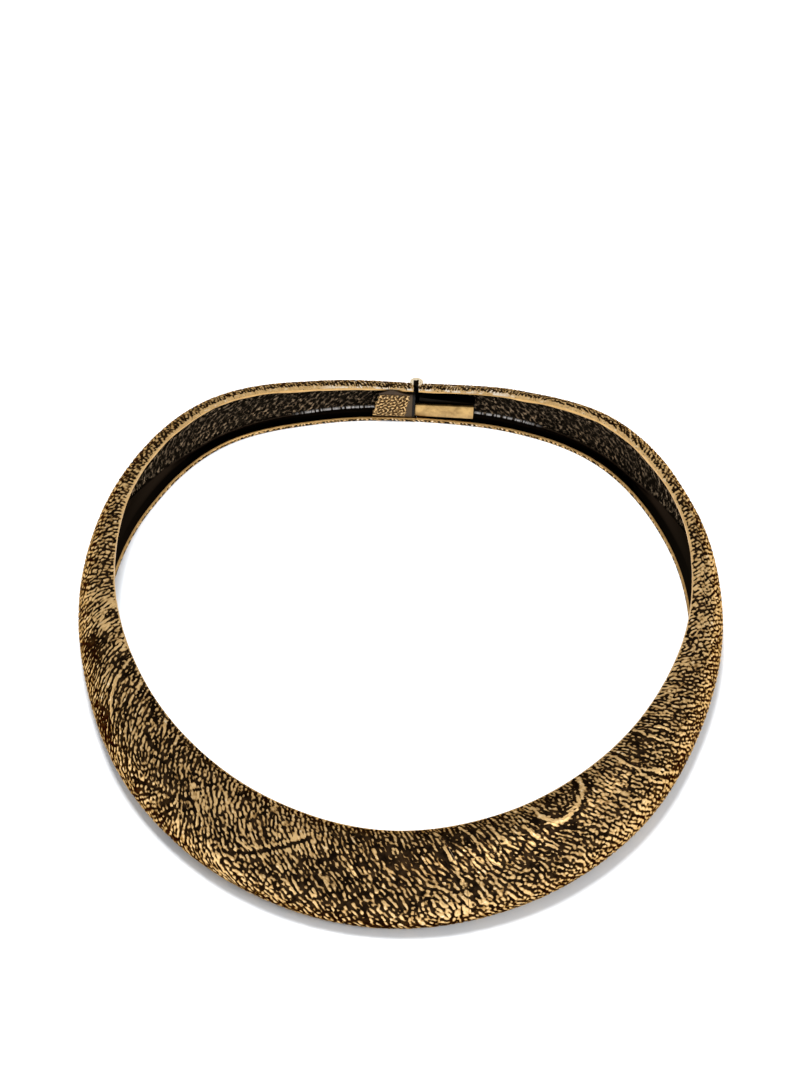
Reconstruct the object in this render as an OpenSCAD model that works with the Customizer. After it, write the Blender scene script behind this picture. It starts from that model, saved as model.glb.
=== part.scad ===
// Rigid hinged choker: a hollow metal band, open on the side of the neck, in two halves.
// The halves meet along a seam in the front and turn on an upright pin at the back.
// X runs from side to side, -Y is the front of the neck and +Z is up, all in millimetres.
// The lower rim stands on z = 0, and the origin lies under the middle of the whole ring.

/* [Neck ring] */
// Clear width from side rim to side rim
neck_w = 126; // [120:1:134]

/* [Band] */
// Height of the band at the front
band_h = 16.5; // [15:0.5:18]
// How far the lower rim stands outside the top rim at the front
band_spread = 13.5; // [12:0.5:15]
// How far the band bulges from the line between its rims at the front
band_bulge = 7; // [6.5:0.5:8]
// Thickness of the metal
wall = 1.1; // [1:0.05:1.2]
// Width of the flat that the lower rim stands on
foot_w = 0.8; // [0.6:0.1:1]

/* [Front seam] */
// Angle from the middle of the front to the seam at the top rim
seam_rim_angle = 9.5; // [8:0.5:10]
// Angle from the middle of the front to the seam below its bend
seam_low_angle = 13.2; // [12:0.1:14]
// Gap between the halves along the seam
seam_gap = 0.25; // [0.2:0.05:0.4]

/* [Back hinge] */
// Width of the slit between the two ends
slit_w = 0.9; // [0.8:0.1:1.1]
// Radius of the knuckles
knuckle_r = 1.2; // [1.1:0.05:1.25]
// Radius of the pin
pin_r = 0.5; // [0.4:0.05:0.6]
// Radial clearance of the pin in its knuckles
pin_play = 0.05; // [0.03:0.01:0.08]

/* [Fittings at the back] */
// Length of the block in the left end
left_block_l = 8.8; // [8:0.2:9.2]
// Length of the blank plate in the right end
plate_l = 13.6; // [12:0.2:14]
// Height of the blank plate
plate_h = 6.2; // [5.6:0.1:6.6]

/* [Hidden] */
$fn = 48;

// One row for each section of the band, from the front to the back, alike on both sides.
// The columns are the angle from the front, the distance from the centre to the top rim,
// the height, how far the lower rim stands outside the top one, and the bulge.
RADIUS = 1;
HEIGHT = 2;
SPREAD = 3;
BULGE = 4;
SECTIONS = [
    [  0.0, 63.5, 16.5, 13.5, 7.0],
    [ 22.5, 62.5, 16.5, 12.5, 8.0],
    [ 45.0, 61.5, 16.5, 10.0, 8.0],
    [ 67.5, 61.5, 16.0,  6.0, 7.0],
    [ 90.0, 63.0, 15.5,  2.5, 6.5],
    [112.5, 64.5, 16.0,  0.5, 5.5],
    [135.0, 63.5, 15.0,  0.4, 5.5],
    [157.5, 58.5, 12.0,  0.4, 5.0],
    [180.0, 56.5, 10.5,  0.4, 4.5],
];
row_step = 22.5;
last_row = len(SECTIONS) - 1;
side_row = 4;

// The driving dimensions scale the columns that they belong to.
radius_scale = neck_w / 2 / SECTIONS[side_row][RADIUS];
height_scale = band_h / SECTIONS[0][HEIGHT];
spread_scale = band_spread / SECTIONS[0][SPREAD];
bulge_scale = band_bulge / SECTIONS[0][BULGE];

// How round the band's profile is: 1 is a sine curve, and less is fuller at the rims.
fullness = 0.8;
// Strips from rim to rim on each face, and sections along each half.
strips = 12;
steps = 46;
ring_size = 2 * (strips + 1);
// The seam bends at this share of the way from the top rim to the lower one.
seam_bend = 0.48;

back_angle = 180;
left_side = -1;
right_side = 1;

// Smooth value of one column between the rows, mirrored past the front and the back.
function cell(row, column) =
    SECTIONS[row < 0 ? -row : (row > last_row ? 2 * last_row - row : row)][column];
function smooth(a, b, c, d, f) =
    b + f / 2 * (c - a + f * (2 * a - 5 * b + 4 * c - d + f * (3 * (b - c) + d - a)));
function from_front(angle) = abs(angle > back_angle ? angle - 2 * back_angle : angle);
function column_at(angle, column) =
    let(place = from_front(angle) / row_step, row = min(floor(place), last_row - 1))
    smooth(cell(row - 1, column), cell(row, column), cell(row + 1, column),
        cell(row + 2, column), place - row);

function radius_at(angle) = column_at(angle, RADIUS) * radius_scale;
function height_at(angle) = column_at(angle, HEIGHT) * height_scale;
function spread_at(angle) = column_at(angle, SPREAD) * spread_scale;
function bulge_at(angle) = column_at(angle, BULGE) * bulge_scale;

// The top rim in plan, and the direction that points out of the ring there.
function rim_point(angle) = radius_at(angle) * [sin(angle), -cos(angle)];
function rim_outward(angle) =
    let(d = rim_point(angle + 0.1) - rim_point(angle - 0.1)) [d.y, -d.x] / norm(d);

// Outer face of a section: x is outward from the top rim and y is up, and t runs from
// 0 at the top rim to 1 at the lower rim.
function outer_at(angle, t) =
    let(h = height_at(angle), w = spread_at(angle), chord = norm([w, h]),
        down = (1 - cos(180 * t)) / 2,
        out = bulge_at(angle) * pow(max(sin(180 * t), 0), fullness) / chord)
    [w * down + out * h, h * (1 - down) + out * w];
function outer_normal(angle, t) =
    let(d = outer_at(angle, min(t + 0.01, 1)) - outer_at(angle, max(t - 0.01, 0)))
    [-d.y, d.x] / norm(d);
function below_face(angle, t, depth) = outer_at(angle, t) - depth * outer_normal(angle, t);

// Both faces of a section end on the flat foot.
function section_point(angle, t, inside) =
    t == 1
    ? [spread_at(angle) + (inside ? -foot_w : foot_w) / 2, 0]
    : below_face(angle, t, inside ? wall : 0);

// Ends of a half: the seam in the front, and the slit at the back, which widens round the
// hinge's knuckles.
hinge_out = outer_at(back_angle, 0.5).x - knuckle_r;
knuckle_clear = 0.3;
notch_x = knuckle_r + knuckle_clear;
notch_out = hinge_out - notch_x;
function seam_angle(t) =
    seam_rim_angle + (seam_low_angle - seam_rim_angle) * min(t / seam_bend, 1);
half_seam = asin(seam_gap / 2 / SECTIONS[0][RADIUS]);
function end_x(out) = out > notch_out ? notch_x : slit_w / 2;
function back_inset(t, inside) =
    let(out = section_point(back_angle, t, inside).x)
    asin(end_x(out) / (radius_at(back_angle) + out));
function half_start(side, t, inside) =
    side == left_side ? -back_angle + back_inset(t, inside) : seam_angle(t) + half_seam;
function half_end(side, t, inside) =
    side == left_side ? seam_angle(t) - half_seam : back_angle - back_inset(t, inside);

// The middle of the box round the whole ring becomes the origin.
hinge_y = radius_at(back_angle) + hinge_out;
face_ys = [
    for (angle = [0 : 2 : back_angle], j = [0 : strips])
        rim_point(angle).y + outer_at(angle, j / strips).x * rim_outward(angle).y];
centre_shift = -(min(face_ys) + max(face_ys)) / 2;

function shell_point(side, i, t, inside) =
    let(a = half_start(side, t, inside), b = half_end(side, t, inside),
        angle = a + (b - a) * i / steps, p = section_point(angle, t, inside),
        plan = rim_point(angle) + p.x * rim_outward(angle))
    [plan.x, plan.y, p.y];
function ring_of(side, i) = concat(
    [for (j = [0 : strips]) shell_point(side, i, j / strips, false)],
    [for (j = [strips : -1 : 0]) shell_point(side, i, j / strips, true)]);
function tube_faces() = [
    for (i = [0 : steps - 1], j = [0 : ring_size - 1])
        let(a = i * ring_size + j, b = i * ring_size + (j + 1) % ring_size)
        each [[a, b, b + ring_size], [a, b + ring_size, a + ring_size]]];
function cap_faces(first, turned) = [
    for (j = [0 : strips - 1])
        let(a = first + j, b = a + 1, c = first + ring_size - 2 - j, d = c + 1)
        each (turned ? [[a, b, c], [a, c, d]] : [[a, c, b], [a, d, c]])];

module half_shell(side) {
    polyhedron(
        points = [for (i = [0 : steps]) each ring_of(side, i)],
        faces = concat(tube_faces(), cap_faces(0, false), cap_faces(steps * ring_size, true)));
}

module in_frame() {
    translate([0, centre_shift, 0]) children();
}

// The ends of the ring bend a little forward, so what lies in them turns with the rim.
function rim_turn(far) =
    let(p = rim_point(back_angle - asin(far / radius_at(back_angle))))
    atan2(radius_at(back_angle) - p.y, p.x);
module right_end(far) {
    translate([0, radius_at(back_angle), 0])
        rotate([0, 0, -rim_turn(far)]) children();
}
module left_end(far) {
    mirror([1, 0, 0]) right_end(far) children();
}

// A bar with a flat profile, drawn outward and up, from near to far along an end.
module bar(near, far) {
    translate([near, 0, 0])
        rotate([90, 0, 90])
            linear_extrude(far - near) children();
}

// The hollow of the back, less the fit, from a mouth line to the band's inner face.
fit = 0.25;
block_proud = 0.5;
block_top = height_at(back_angle) - wall - fit;
block_bottom = wall + fit;
flange_share = 0.16;
module hollow_profile(mouth, top) {
    intersection() {
        polygon(concat(
            [[mouth, block_bottom], [mouth, block_top]],
            [for (t = [flange_share : 0.04 : 1 - flange_share]) below_face(back_angle, t, wall + fit)]));
        translate([mouth, 0]) square([band_bulge, top]);
    }
}

// Heights of the knuckles: the left half has the lower and the upper one.
knuckle_inset = 1;
knuckle_low = knuckle_inset;
knuckle_high = height_at(back_angle) - knuckle_inset;
knuckle_gap = 0.1;
knuckle_l = (knuckle_high - knuckle_low - 2 * knuckle_gap) / 3;
middle_low = knuckle_low + knuckle_l + knuckle_gap;
middle_high = middle_low + knuckle_l;

module upright(radius, low, high) {
    translate([0, hinge_y, low]) cylinder(r = radius, h = high - low);
}
module pin_bore() {
    upright(pin_r + pin_play, 0, height_at(back_angle));
}
module end_knuckles(radius) {
    upright(radius, knuckle_low, middle_low - knuckle_gap);
    upright(radius, middle_high + knuckle_gap, knuckle_high);
}

module left_shell() {
    color("#a9823f") in_frame() half_shell(left_side);
}

module right_shell() {
    color("#a9823f") in_frame() half_shell(right_side);
}

// Grey block that closes the left end and carries the two outer knuckles.
module left_hinge_block() {
    color("#77706a") in_frame() difference() {
        union() {
            left_end(left_block_l)
                bar(slit_w / 2, left_block_l) hollow_profile(-block_proud, block_top);
            end_knuckles(knuckle_r);
        }
        upright(notch_x, middle_low - knuckle_gap, middle_high + knuckle_gap);
        pin_bore();
    }
}

// Dark block behind the blank plate, with the middle knuckle.
plate_t = 0.7;
plate_gap = 0.1;
plate_bottom = wall - 0.05;
plate_x = 0.6;
plate_lap = 1;
plate_top = plate_bottom + plate_h;
plate_far = plate_x + plate_l;
module right_hinge_block() {
    color("#2c241c") in_frame() difference() {
        union() {
            right_end(plate_far)
                bar(slit_w / 2, plate_far - plate_lap) hollow_profile(plate_t, plate_top);
            upright(knuckle_r, middle_low, middle_high);
        }
        upright(notch_x, 0, middle_low - knuckle_gap / 2);
        upright(notch_x, middle_high + knuckle_gap / 2, height_at(back_angle));
        pin_bore();
    }
}

module hinge_pin() {
    head_h = 0.25;
    color("#8f6f38") in_frame() {
        upright(pin_r, knuckle_low - head_h, knuckle_high + head_h);
    }
}

// Pad with slanting ends on the mouth of the left block.
pad_l = 7.4;
pad_t = 0.6;
pad_slant = 1.4;
pad_margin = 0.5;
pad_gap = 0.05;
pad_inset = 0.6;
module textured_pad() {
    low = block_bottom + pad_margin;
    high = block_top - pad_margin / 2;
    near = slit_w / 2 + pad_inset;
    far = near + pad_l;
    color("#c49a4e") in_frame()
        left_end(left_block_l)
            translate([0, -block_proud - pad_gap, 0])
                rotate([90, 0, 0])
                    linear_extrude(pad_t)
                        polygon([[near + pad_slant, low], [far, low],
                            [far - pad_slant, high], [near, high]]);
}

module blank_plate() {
    color("#d9b25f") in_frame()
        right_end(plate_far)
            bar(plate_x, plate_far)
                translate([-plate_gap, plate_bottom]) square([plate_t, plate_h]);
}

// Plain tongue under the seam: held in the left half, free in the hollow of the right one.
tongue_l = 20;
tongue_w = 5;
tongue_t = 1.4;
tongue_share = 0.45;
tongue_drop = 1.2;
module catch_tongue() {
    angle = seam_angle(tongue_share);
    normal = outer_normal(angle, tongue_share);
    place = below_face(angle, tongue_share, wall + tongue_drop + tongue_t / 2);
    plan = rim_point(angle) + place.x * rim_outward(angle);
    color("#8f6f38") in_frame()
        translate([plan.x, plan.y, place.y])
            rotate([0, 0, atan2(rim_outward(angle).x, -rim_outward(angle).y)])
                rotate([atan2(normal.x, normal.y), 0, 0])
                    cube([tongue_l, tongue_w, tongue_t], center = true);
}

left_shell();
right_shell();
left_hinge_block();
right_hinge_block();
hinge_pin();
textured_pad();
blank_plate();
catch_tongue();
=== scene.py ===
"""Looks of a rigid hinged choker: cast gold strokes on a dark band, in two halves, on a white table."""

import logging
import math
from dataclasses import dataclass, field
from enum import Enum
from typing import Callable, Sequence

import bpy
import numpy as np
from mathutils import Matrix, Vector

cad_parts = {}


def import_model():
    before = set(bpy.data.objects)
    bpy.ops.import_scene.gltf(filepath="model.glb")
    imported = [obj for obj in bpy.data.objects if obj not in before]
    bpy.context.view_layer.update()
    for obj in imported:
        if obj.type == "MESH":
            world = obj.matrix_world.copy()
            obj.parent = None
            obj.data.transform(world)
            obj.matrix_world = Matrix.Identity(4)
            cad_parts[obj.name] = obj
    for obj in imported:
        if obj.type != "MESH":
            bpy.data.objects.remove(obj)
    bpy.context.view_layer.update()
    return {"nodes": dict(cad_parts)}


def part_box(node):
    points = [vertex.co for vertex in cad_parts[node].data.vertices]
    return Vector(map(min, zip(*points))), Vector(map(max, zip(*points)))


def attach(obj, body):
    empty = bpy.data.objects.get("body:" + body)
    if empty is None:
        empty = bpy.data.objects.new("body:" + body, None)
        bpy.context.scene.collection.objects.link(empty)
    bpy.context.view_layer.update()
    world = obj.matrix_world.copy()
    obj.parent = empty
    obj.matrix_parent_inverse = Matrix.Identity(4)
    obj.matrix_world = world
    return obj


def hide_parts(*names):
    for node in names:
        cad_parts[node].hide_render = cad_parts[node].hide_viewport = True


logging.basicConfig(level=logging.INFO, format="%(message)s")
log = logging.getLogger("choker")

MM = 0.001
Array = np.ndarray
Colour = tuple[float, float, float]
Material = bpy.types.Material
Piece = bpy.types.Object
Socket = bpy.types.NodeSocket

# Millimetres along the band for a degree round it, at the middle of its face
PER_DEGREE = math.radians(70.0)


class Side(Enum):
    """The two halves of the ring, by the sign of X."""

    LEFT = -1
    RIGHT = 1


class Face(Enum):
    """Material places on a half of the band."""

    CAST = 0
    RIM = 1
    LINING = 2


class Body(Enum):
    """The rigid bodies of the frame."""

    LEFT = "left_half"
    RIGHT = "right_half"


class Slot(Enum):
    """The record's material slots."""

    TEXTURED_GOLD = "textured_gold"
    SMOOTH_GOLD = "smooth_gold"
    GREY_METAL = "grey_metal"
    DARK_METAL = "dark_metal"


# Form of the band


@dataclass(frozen=True)
class Section:
    """One section of the band: sizes in millimetres at an angle from the front in degrees."""

    angle: float
    radius: float
    height: float
    spread: float
    bulge: float


SECTIONS = (
    Section(0.0, 63.5, 16.5, 13.5, 7.0),
    Section(22.5, 62.5, 16.5, 12.5, 8.0),
    Section(45.0, 61.5, 16.5, 10.0, 8.0),
    Section(67.5, 61.5, 16.0, 6.0, 7.0),
    Section(90.0, 63.0, 15.5, 2.5, 6.5),
    Section(112.5, 64.5, 16.0, 0.5, 5.5),
    Section(135.0, 63.5, 15.0, 0.4, 5.5),
    Section(157.5, 58.5, 12.0, 0.4, 5.0),
    Section(180.0, 56.5, 10.5, 0.4, 4.5),
)


@dataclass(frozen=True)
class BandForm:
    """The bare form of the band, worked out as the frame's own shells are, in millimetres."""

    sections: tuple[Section, ...] = SECTIONS
    step: float = 22.5
    wall: float = 1.1
    foot: float = 0.8
    fullness: float = 0.8
    seam_rim: float = 9.5
    seam_low: float = 13.2
    seam_bend: float = 0.48
    seam_gap: float = 0.09
    slit_left: float = 0.95
    slit_right: float = 0.25
    slit_foot: float = 0.03
    foot_share: float = 0.93
    knuckle: float = 1.2
    knuckle_clear: float = 0.3
    swell: float = 1.25
    swell_angle: float = 152.0
    swell_reach: float = 17.0
    centre_shift: float = 9.005
    turn_step: float = 0.1
    share_step: float = 0.01

    def column(self, angle: Array, name: str) -> Array:
        """Smooth value of one column of the sections.

        Args:
            angle: degrees from the front, of any sign.
            name: the field of Section to read.

        Returns:
            The value at each angle.
        """
        rows = np.array([getattr(s, name) for s in self.sections])
        rows = np.concatenate([rows[1:2], rows, rows[-2:-1]])
        turned = np.abs((np.asarray(angle, float) + 180.0) % 360.0 - 180.0)
        place = turned / self.step
        i = np.minimum(place.astype(int), len(self.sections) - 2)
        f = place - i
        a, b, c, d = (rows[i + k] for k in range(4))
        cubic = 3 * (b - c) + d - a
        return b + f / 2 * (c - a + f * (2 * a - 5 * b + 4 * c - d + f * cubic))

    def rim(self, angle: Array) -> Array:
        """The top rim in plan.

        Args:
            angle: degrees from the front.

        Returns:
            Rows of x and y.
        """
        turn = np.radians(angle)
        swell = self.swell * np.exp(-(((angle - self.swell_angle) / self.swell_reach) ** 2))
        radius = self.column(angle, "radius") + swell
        return np.stack([radius * np.sin(turn), -radius * np.cos(turn)], -1)

    def outward(self, angle: Array) -> Array:
        """Direction out of the ring in plan.

        Args:
            angle: degrees from the front.

        Returns:
            Rows of x and y, of length one.
        """
        d = self.rim(angle + self.turn_step) - self.rim(angle - self.turn_step)
        n = np.stack([d[..., 1], -d[..., 0]], -1)
        return n / np.linalg.norm(n, axis=-1, keepdims=True)

    def profile(self, angle: Array, t: Array) -> Array:
        """Outer face of a section.

        Args:
            angle: degrees from the front.
            t: share of the way from the top rim to the lower rim.

        Returns:
            Rows of outward and up, from the top rim's own place in plan.
        """
        h = self.column(angle, "height")
        w = self.column(angle, "spread")
        chord = np.hypot(h, w)
        down = (1 - np.cos(np.pi * t)) / 2
        lift = np.power(np.maximum(np.sin(np.pi * t), 0), self.fullness)
        out = self.column(angle, "bulge") * lift / chord
        return np.stack([w * down + out * h, h * (1 - down) + out * w], -1)

    def profile_normal(self, angle: Array, t: Array) -> Array:
        """Normal of the outer face in the section's own plane.

        Args:
            angle: degrees from the front.
            t: share of the way down.

        Returns:
            Rows of outward and up, of length one.
        """
        after, before = np.minimum(t + self.share_step, 1), np.maximum(t - self.share_step, 0)
        d = self.profile(angle, after) - self.profile(angle, before)
        n = np.stack([-d[..., 1], d[..., 0]], -1)
        return n / np.linalg.norm(n, axis=-1, keepdims=True)

    def place(self, angle: Array, out: Array, up: Array) -> Array:
        """Points of the frame in metres from an angle, a distance outward and a height in millimetres."""
        plan = self.rim(angle) + out[..., None] * self.outward(angle)
        return np.stack([plan[..., 0], plan[..., 1] + self.centre_shift, up], -1) * MM

    def seam_angle(self, t: Array) -> Array:
        """Angle of the front seam at a share of the way down."""
        return self.seam_rim + (self.seam_low - self.seam_rim) * np.minimum(t / self.seam_bend, 1)

    def back_inset(self, side: Side, t: Array, out: Array) -> Array:
        """Angle left free at the back beside the slit, wider round the knuckles and closed at the foot.

        Args:
            side: which half.
            t: share of the way down at each row.
            out: distance outward of that row at the back.

        Returns:
            The angle in degrees at each row.
        """
        notch = self.knuckle + self.knuckle_clear
        beside = self.slit_left if side is Side.LEFT else self.slit_right
        slit = np.where(t > self.foot_share, self.slit_foot, beside)
        end_x = np.where(out > self.hinge_out() - notch, notch, slit)
        return np.degrees(np.arcsin(end_x / (self.sections[-1].radius + out)))

    def ends(self, side: Side, t: Array, out: Array) -> tuple[Array, Array]:
        """First and last angle of a half at each row.

        Args:
            side: which half.
            t: share of the way down at each row.
            out: distance outward of that row at the back.

        Returns:
            The two angles in degrees, growing towards +X at the front.
        """
        half_seam = math.degrees(math.asin(self.seam_gap / 2 / self.sections[0].radius))
        seam, inset = self.seam_angle(t), self.back_inset(side, t, out)
        if side is Side.LEFT:
            return -180 + inset, seam - half_seam
        return seam + half_seam, 180 - inset

    def hinge_out(self) -> float:
        """Distance outward from the top rim to the hinge's axis in millimetres."""
        return self.profile(np.array(180.0), np.array(0.5))[0] - self.knuckle

    def hinge_y(self) -> float:
        """Y of the hinge's axis in metres."""
        return float(self.sections[-1].radius + self.hinge_out() + self.centre_shift) * MM


# Cast strokes, worked out on a flat sheet and laid on the band


@dataclass(frozen=True)
class Flow:
    """Strokes at an angle round the band.

    Top, middle and low are directions in degrees at three depths: 0 runs along the band, 90 from rim to
    rim. Run is 0 for dots and 1 for long strokes. Gold raises or lowers the share of gold. Border is the
    width of the smooth gold at the top rim in millimetres.
    """

    angle: float
    top: float
    middle: float
    low: float
    run: float
    gold: float
    border: float = 0.0


FLOWS = (
    Flow(-180, 60, 60, 50, 0.2, 0.0, 0.5),
    Flow(-165, 60, 60, 50, 0.3, 0.0, 0.7),
    Flow(-155, 70, 70, 100, 0.5, -0.05, 1.2),
    Flow(-140, 125, 100, 120, 0.5, 0.0, 1.1),
    Flow(-130, 130, 110, 120, 0.5, 0.0, 0.8),
    Flow(-115, 120, 115, 130, 0.4, 0.0, 0.3),
    Flow(-100, 90, 115, 125, 0.1, 0.1, 0.3),
    Flow(-90, 100, 120, 125, 0.1, 0.2),
    Flow(-80, 55, 95, 120, 0.5, 0.15),
    Flow(-70, 50, 65, 105, 0.4, -0.05),
    Flow(-60, 50, 55, 70, 0.5, -0.1),
    Flow(-50, 50, 45, 40, 0.1, -0.1),
    Flow(-40, 50, 45, 130, 0.0, 0.0),
    Flow(-30, 60, 50, 60, 0.2, 0.05),
    Flow(-20, 60, 55, 20, 0.1, 0.05),
    Flow(-10, 65, 50, 45, 0.2, 0.05),
    Flow(0, 75, 55, 55, 0.6, -0.1),
    Flow(10, 70, 60, 50, 0.5, -0.15),
    Flow(20, 80, 65, 45, 0.5, 0.0),
    Flow(30, 85, 50, 45, 0.2, 0.05),
    Flow(40, 105, 55, 45, 0.0, 0.1),
    Flow(50, 75, 45, 45, 0.0, 0.1),
    Flow(60, 65, 50, 45, 0.2, 0.05),
    Flow(70, 60, 45, 50, 0.0, 0.0),
    Flow(80, 30, 45, 50, 0.0, 0.1),
    Flow(90, 45, 50, 50, 0.0, 0.15),
    Flow(100, 55, 50, 40, 0.1, 0.15, 0.3),
    Flow(120, 60, 40, 60, 0.1, 0.1, 0.6),
    Flow(135, 25, 60, 60, 0.6, 0.0, 0.9),
    Flow(155, 15, 80, 75, 0.8, 0.0, 1.1),
    Flow(180, 120, 60, 50, 0.2, 0.0, 0.5),
)
FLOW_ANGLES = np.array([f.angle for f in FLOWS], float)
FLOW_DEPTHS = (2.5, 8.0, 15.0)


@dataclass(frozen=True)
class Whorl:
    """A place that the strokes run round: its middle, and the ring's radius, width and strength."""

    angle: float
    down: float
    radius: float
    width: float
    strength: float


WHORLS = (
    Whorl(32.5, 0.5, 6.5, 2.2, 3.0),
    Whorl(21.5, 11.5, 3.5, 1.6, 1.2),
    Whorl(8.5, 19.0, 4.0, 1.6, 1.5),
    Whorl(-47.0, 9.5, 3.0, 1.4, 0.9),
)


def soft_min(a: Array, b: Array, reach: float) -> Array:
    """The lower of two fields with a rounded join."""
    h = np.maximum(reach - np.abs(a - b), 0) / reach
    return np.minimum(a, b) - h**3 * reach / 6


def passed(waves: Array) -> Array:
    """Share of each term of a transform that a soft filter lets through, from its squared distance."""
    return np.exp(-2 * math.pi**2 * waves)


@dataclass(frozen=True)
class Ripple:
    """Waves in noise, in millimetres: their pitch and how far they keep step along and across themselves."""

    pitch: float
    length: float
    width: float


@dataclass
class StrokeSheet:
    """Cast strokes on a flat sheet: s runs along the band and v from the top rim down, in millimetres.

    Strokes with gaps across them follow the charted directions. Dots and fine grain have none: each has a
    pitch and how far it keeps step. Valleys are broad waves along the strokes.
    """

    seed: int = 11
    cell: float = 0.15
    reach: float = 265.0
    depth: float = 30.0
    margin: int = 40
    turns: int = 16
    stroke: Ripple = Ripple(1.08, 0.55, 0.4)
    gap: Ripple = Ripple(1.55, 0.35, 0.42)
    valley: Ripple = Ripple(6.5, 2.6, 2.2)
    dots: tuple[float, float] = (0.95, 0.6)
    fine: tuple[float, float] = (0.6, 0.35)
    patch_size: float = 6.0
    stroke_cut: float = 0.1
    gap_gain: float = 0.9
    gap_shift: float = 0.45
    run_shift: float = 0.9
    join: float = 1.6
    dot_gain: float = 0.42
    dot_loss: float = 0.5
    fine_gain: float = 0.15
    valley_gain: float = 0.1
    even_reach: float = 1.5
    spread_reach: float = 3.0
    contrast: float = 0.62
    last_cell: float = 1.001
    height: Array = field(init=False)
    patch: Array = field(init=False)

    def __post_init__(self) -> None:
        """Draws the noise and the fields that the band reads."""
        rng = np.random.default_rng(self.seed)
        self.nx = int(2 * self.reach / self.cell)
        self.ny = int(self.depth / self.cell)
        self.shape = (self.ny + 2 * self.margin, self.nx + 2 * self.margin)
        self.white = np.fft.rfft2(rng.standard_normal(self.shape))
        s = np.arange(self.nx) * self.cell - self.reach
        v = np.arange(self.ny) * self.cell
        flow = self.directions(s, v)
        run = self.charted(s, "run")
        stroke = self.along(flow, self.stroke) - self.stroke_cut
        gap = self.along(flow + 90, self.gap) * self.gap_gain + self.gap_shift + run * self.run_shift
        height = soft_min(stroke, gap, self.join)
        height += self.dot_gain * self.round_noise(*self.dots) * (1 - self.dot_loss * run)
        height += self.fine_gain * self.round_noise(*self.fine)
        height += self.valley_gain * self.along(flow, self.valley)
        height -= self.blurred(height, self.even_reach)
        spread = np.sqrt(self.blurred(height**2, self.spread_reach))
        self.height = (self.contrast * height / spread).astype(np.float32)
        self.patch = self.cloud(self.patch_size)

    @staticmethod
    def charted(s: Array, name: str) -> Array:
        """One column of the chart along the band."""
        return np.interp(s / PER_DEGREE, FLOW_ANGLES, [getattr(f, name) for f in FLOWS])

    @staticmethod
    def directions(s: Array, v: Array) -> Array:
        """Stroke direction in degrees over the sheet, blended between the charted places and the whorls.

        Args:
            s: places along the sheet.
            v: places down the sheet.

        Returns:
            The direction at each cell, rows down by columns along.
        """
        depth = np.interp(v, FLOW_DEPTHS, range(3))
        i = np.minimum(depth.astype(int), 1)
        f = (depth - i)[:, None]
        chart = np.radians([[2 * g.top, 2 * g.middle, 2 * g.low] for g in FLOWS])
        parts = []
        for wave in (np.cos, np.sin):
            columns = np.stack([np.interp(s / PER_DEGREE, FLOW_ANGLES, wave(k)) for k in chart.T])
            parts.append(columns[i] * (1 - f) + columns[i + 1] * f)
        for w in WHORLS:
            x = s[None, :] - w.angle * PER_DEGREE
            y = v[:, None] - w.down
            share = w.strength * np.exp(-(((np.hypot(x, y) - w.radius) / w.width) ** 2))
            doubled = 2 * np.arctan2(x, -y)
            parts[0] = parts[0] + share * np.cos(doubled)
            parts[1] = parts[1] + share * np.sin(doubled)
        return np.degrees(np.arctan2(parts[1], parts[0])) / 2

    def frequencies(self, shape: tuple[int, int]) -> tuple[Array, Array]:
        """Waves per millimetre along s and v for each term of the transform of a field.

        Args:
            shape: rows and columns of the field.

        Returns:
            The frequencies along and down, ready to be combined.
        """
        fx = np.fft.rfftfreq(shape[1], self.cell)[None, :]
        fy = np.fft.fftfreq(shape[0], self.cell)[:, None]
        return fx, fy

    def filtered(self, weight: Array) -> Array:
        """The sheet's noise through a filter, cut to size and scaled to a spread of one.

        Args:
            weight: share of each term of the transform that stays.

        Returns:
            The filtered noise.
        """
        m = self.margin
        r = np.fft.irfft2(self.white * weight, s=self.shape)
        return (r / r.std())[m : m + self.ny, m : m + self.nx].astype(np.float32)

    def along(self, flow: Array, ripple: Ripple) -> Array:
        """Ripples that run along a direction field.

        Args:
            flow: direction in degrees at each cell.
            ripple: the ripples' sizes.

        Returns:
            The field, with a spread of about one.
        """
        fx, fy = self.frequencies(self.shape)
        share = (flow % 180) / 180 * self.turns
        first = np.floor(share).astype(int) % self.turns
        mix = share - np.floor(share)
        out = np.zeros(flow.shape, np.float32)
        for k in range(self.turns):
            near = first == k
            far = (first + 1) % self.turns == k
            a = math.pi * k / self.turns
            across = -fx * math.sin(a) + fy * math.cos(a)
            on = (fx * math.cos(a) + fy * math.sin(a)) * ripple.length
            tops = [(across - sign / ripple.pitch) * ripple.width for sign in (1, -1)]
            weight = sum(passed(top**2 + on**2) for top in tops)
            out += self.filtered(weight) * (near * np.sqrt(1 - mix) + far * np.sqrt(mix))
        return out

    def round_noise(self, pitch: float, spread: float) -> Array:
        """Dots of about a given pitch with no direction."""
        fx, fy = self.frequencies(self.shape)
        return self.filtered(passed(((np.hypot(fx, fy) - 1 / pitch) * spread) ** 2))

    def cloud(self, size: float) -> Array:
        """Soft patches of about a given size."""
        fx, fy = self.frequencies(self.shape)
        return self.filtered(passed((fx**2 + fy**2) * (size / 3) ** 2))

    def blurred(self, values: Array, reach: float) -> Array:
        """A field of the sheet, averaged.

        Args:
            values: the field.
            reach: distance in millimetres to average over.

        Returns:
            The averaged field.
        """
        fx, fy = self.frequencies(values.shape)
        weight = passed((fx**2 + fy**2) * reach**2)
        return np.fft.irfft2(np.fft.rfft2(values) * weight, s=values.shape)

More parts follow.
